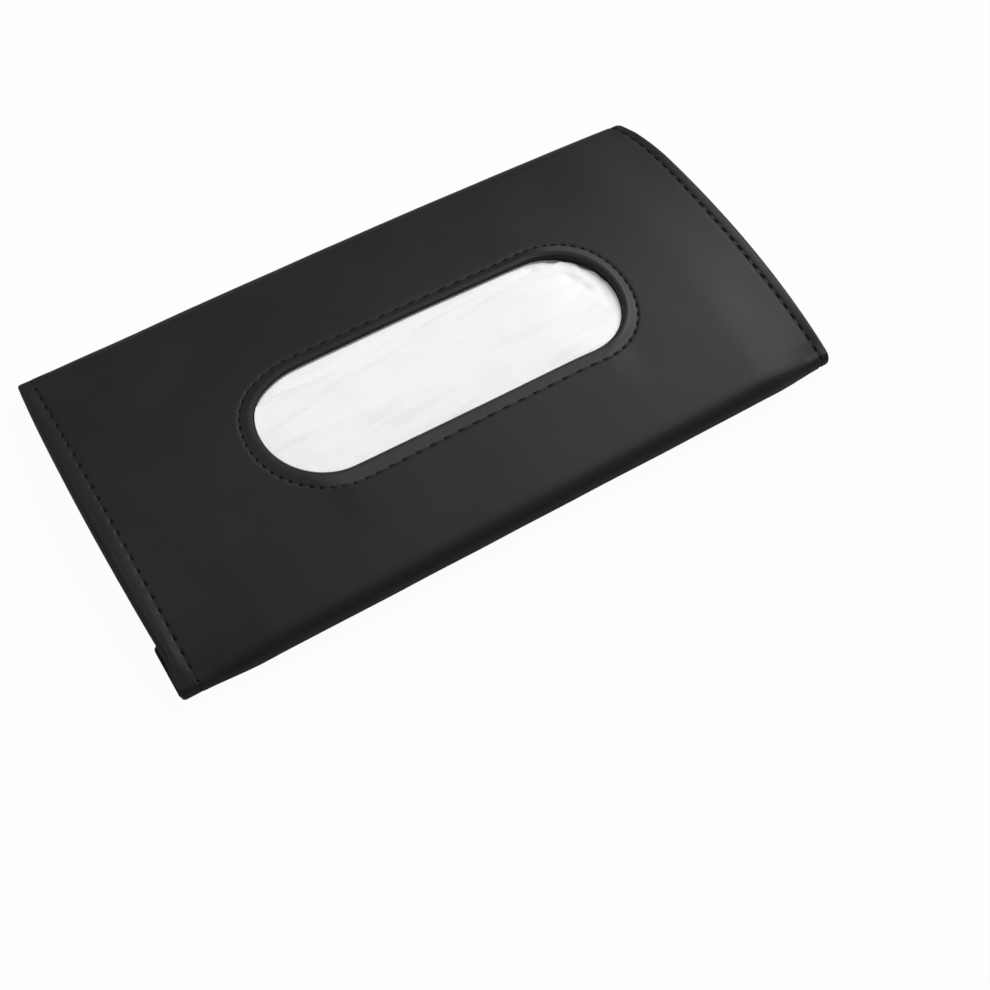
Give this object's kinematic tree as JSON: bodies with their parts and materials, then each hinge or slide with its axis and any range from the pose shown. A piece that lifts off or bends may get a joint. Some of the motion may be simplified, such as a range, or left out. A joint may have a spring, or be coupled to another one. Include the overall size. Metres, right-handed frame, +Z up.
{
  "type": "car tissue holder",
  "caption": "Flat black leather pouch with an arched front, a stitched oblong window over a wrapped tissue pack, a hinged closing flap and elastic visor bands.",
  "frame": {"origin": "middle of the pouch, on the surface that its back lies on", "axes": "+X along the pouch, +Y across it from the flap's fold to the other long fold, +Z up out of the front with the window"},
  "size_m": [0.2336, 0.1204, 0.0143],
  "materials": {
    "leather": "satin",
    "thread": "matte",
    "foam": "matte",
    "board": "matte",
    "lining": "matte",
    "elastic": "matte",
    "steel": "satin",
    "film": "gloss",
    "tissue": "matte"
  },
  "bodies": {
    "case": {"front_cover": "leather", "front_foam": "foam", "front_board": "board", "front_lining": "lining", "window_seam_thread": "thread", "left_seam_thread": "thread", "right_seam_thread": "thread", "back_cover": "leather", "back_board": "board", "back_lining": "lining", "left_keeper_disc": "steel", "right_keeper_disc": "steel", "left_elastic_band": "elastic", "right_elastic_band": "elastic", "tissue_wrapper": "film", "tissue_stack": "tissue", "top_tissue": "tissue"},
    "flap": {"flap_cover": "leather", "flap_board": "board", "flap_lining": "lining", "left_flap_magnet": "steel", "right_flap_magnet": "steel"}
  },
  "joints": [
    {"name": "flap_hinge", "type": "hinge", "parent": "case", "child": "flap", "pos_m": [0, -0.0542, 0], "axis": [-1, 0, 0], "range_deg": [0, 165]}
  ]
}
